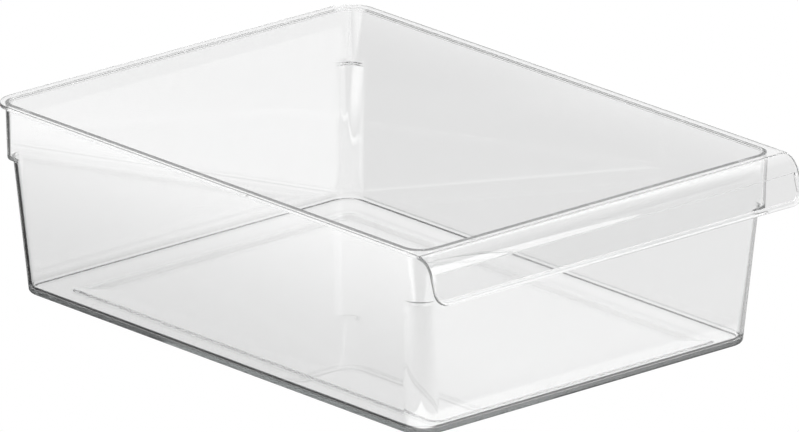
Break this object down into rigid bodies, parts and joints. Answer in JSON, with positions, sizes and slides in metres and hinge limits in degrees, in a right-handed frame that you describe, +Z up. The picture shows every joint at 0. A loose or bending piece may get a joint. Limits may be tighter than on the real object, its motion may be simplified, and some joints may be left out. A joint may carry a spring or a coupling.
{
  "type": "fridge bin",
  "caption": "Open-topped clear plastic fridge bin: tapered walls, round corner posts with stacking ledges, flat rim lip and a curved full-width front pull.",
  "frame": {"origin": "at the base, in the middle of the overall width and length with the pull counted in", "axes": "+Z up, +Y towards the closed back of the bin, -Y towards the front pull, X across the width"},
  "size_m": [0.2616, 0.3648, 0.1075],
  "materials": {
    "clear_plastic": "clear, glossy"
  },
  "bodies": {
    "root": {"corner_cone_back_left": "clear_plastic", "corner_cone_back_right": "clear_plastic", "corner_cone_front_left": "clear_plastic", "corner_cone_front_right": "clear_plastic", "corner_post_back_left": "clear_plastic", "corner_post_back_right": "clear_plastic", "corner_post_front_left": "clear_plastic", "corner_post_front_right": "clear_plastic", "floor_border_back": "clear_plastic", "floor_border_front": "clear_plastic", "floor_border_left": "clear_plastic", "floor_border_right": "clear_plastic", "floor_panel": "clear_plastic", "pull_bend": "clear_plastic", "pull_bottom_bead": "clear_plastic", "pull_panel": "clear_plastic", "pull_side_bead_left": "clear_plastic", "pull_side_bead_right": "clear_plastic", "rim_corner_back_left": "clear_plastic", "rim_corner_back_right": "clear_plastic", "rim_corner_front_left": "clear_plastic", "rim_corner_front_right": "clear_plastic", "rim_lip_back": "clear_plastic", "rim_lip_front": "clear_plastic", "rim_lip_left": "clear_plastic", "rim_lip_right": "clear_plastic", "stacking_ledge_back_left": "clear_plastic", "stacking_ledge_back_right": "clear_plastic", "stacking_ledge_front_left": "clear_plastic", "stacking_ledge_front_right": "clear_plastic", "wall_back": "clear_plastic", "wall_front": "clear_plastic", "wall_left": "clear_plastic", "wall_right": "clear_plastic"}
  },
  "joints": []
}
